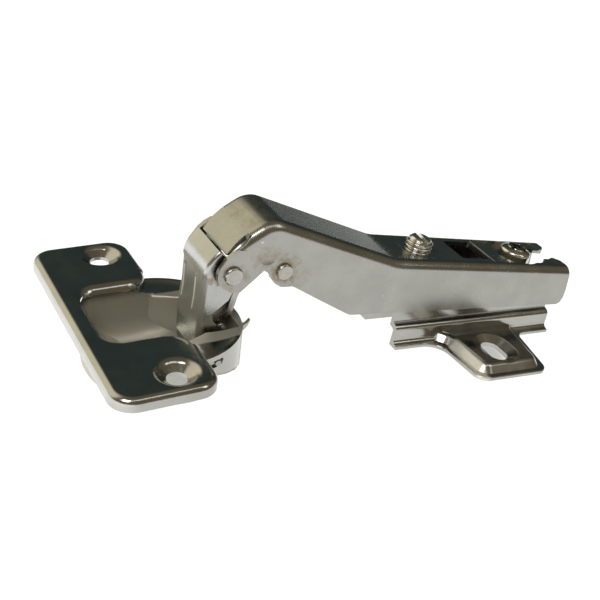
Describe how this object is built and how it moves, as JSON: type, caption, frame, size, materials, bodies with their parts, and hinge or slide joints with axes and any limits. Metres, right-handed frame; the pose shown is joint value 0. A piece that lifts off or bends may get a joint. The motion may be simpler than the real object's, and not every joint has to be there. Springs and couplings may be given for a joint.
{
  "type": "concealed cabinet hinge",
  "caption": "Concealed cabinet door hinge: drilled-in cup with screw flange, folding links, pressed channel arm with adjusting screws, and a winged mounting plate.",
  "frame": {"origin": "on the seating plane of the mounting plate, midway between its two screw slots", "axes": "+X along the arm away from the cup, +Y across the hinge, +Z away from the surface that the plate is screwed to"},
  "size_m": [0.1314, 0.0608, 0.0391],
  "materials": {
    "nickel_plate": "nickel plated, satin",
    "nickel_arm": "nickel plated, polished",
    "nickel_cup": "nickel plated, polished",
    "nickel_link": "nickel plated",
    "rivet_steel": "plated, greasy",
    "spring_steel": "drawn wire",
    "screw_steel": "zinc plated"
  },
  "bodies": {
    "plate": {"mounting_plate": "nickel_plate"},
    "arm": {"hinge_arm": "nickel_arm", "front_arm_rivet": "rivet_steel", "rear_arm_rivet": "rivet_steel"},
    "outer_link": {"outer_link": "nickel_link"},
    "cup": {"hinge_cup": "nickel_cup", "outer_link_axle": "rivet_steel", "inner_link_axle": "rivet_steel", "anchor_pins": "rivet_steel", "closing_spring": "spring_steel"},
    "inner_link": {"inner_link": "nickel_link"},
    "adjusting_screw": {"adjusting_screw": "screw_steel"},
    "clamping_screw": {"clamping_screw": "screw_steel"}
  },
  "joints": [
    {"name": "arm_depth_slide", "type": "slide", "parent": "plate", "child": "arm", "axis": [0.9954, 0, -0.0957], "range_m": [-0.002, 0.0005]},
    {"name": "outer_link_swing", "type": "hinge", "parent": "arm", "child": "outer_link", "pos_m": [-0.07286, 0, 0.02397], "axis": [0, 1, 0], "range_deg": [0, 5.25]},
    {"name": "cup_fold", "type": "hinge", "parent": "outer_link", "child": "cup", "pos_m": [-0.07153, 0, 0.00762], "axis": [0, 1, 0], "range_deg": [0, 85.3]},
    {"name": "inner_link_swing", "type": "hinge", "parent": "cup", "child": "inner_link", "pos_m": [-0.07223, 0, 0.00449], "axis": [0, 1, 0], "range_deg": [-76.05, 0]},
    {"name": "adjusting_screw_turn", "type": "hinge", "parent": "arm", "child": "adjusting_screw", "pos_m": [-0.01953, 0, 0.02335], "axis": [0.0957, 0, 0.9954], "range_deg": [-180, 180]},
    {"name": "clamping_screw_turn", "type": "hinge", "parent": "plate", "child": "clamping_screw", "pos_m": [0.01262, 0, 0.02026], "axis": [0.0957, 0, 0.9954], "range_deg": [-180, 180]}
  ],
  "couplings": [
    {"joint": "outer_link_swing", "follows": "cup_fold", "ratio": 0.061},
    {"joint": "inner_link_swing", "follows": "cup_fold", "ratio": -0.891}
  ]
}
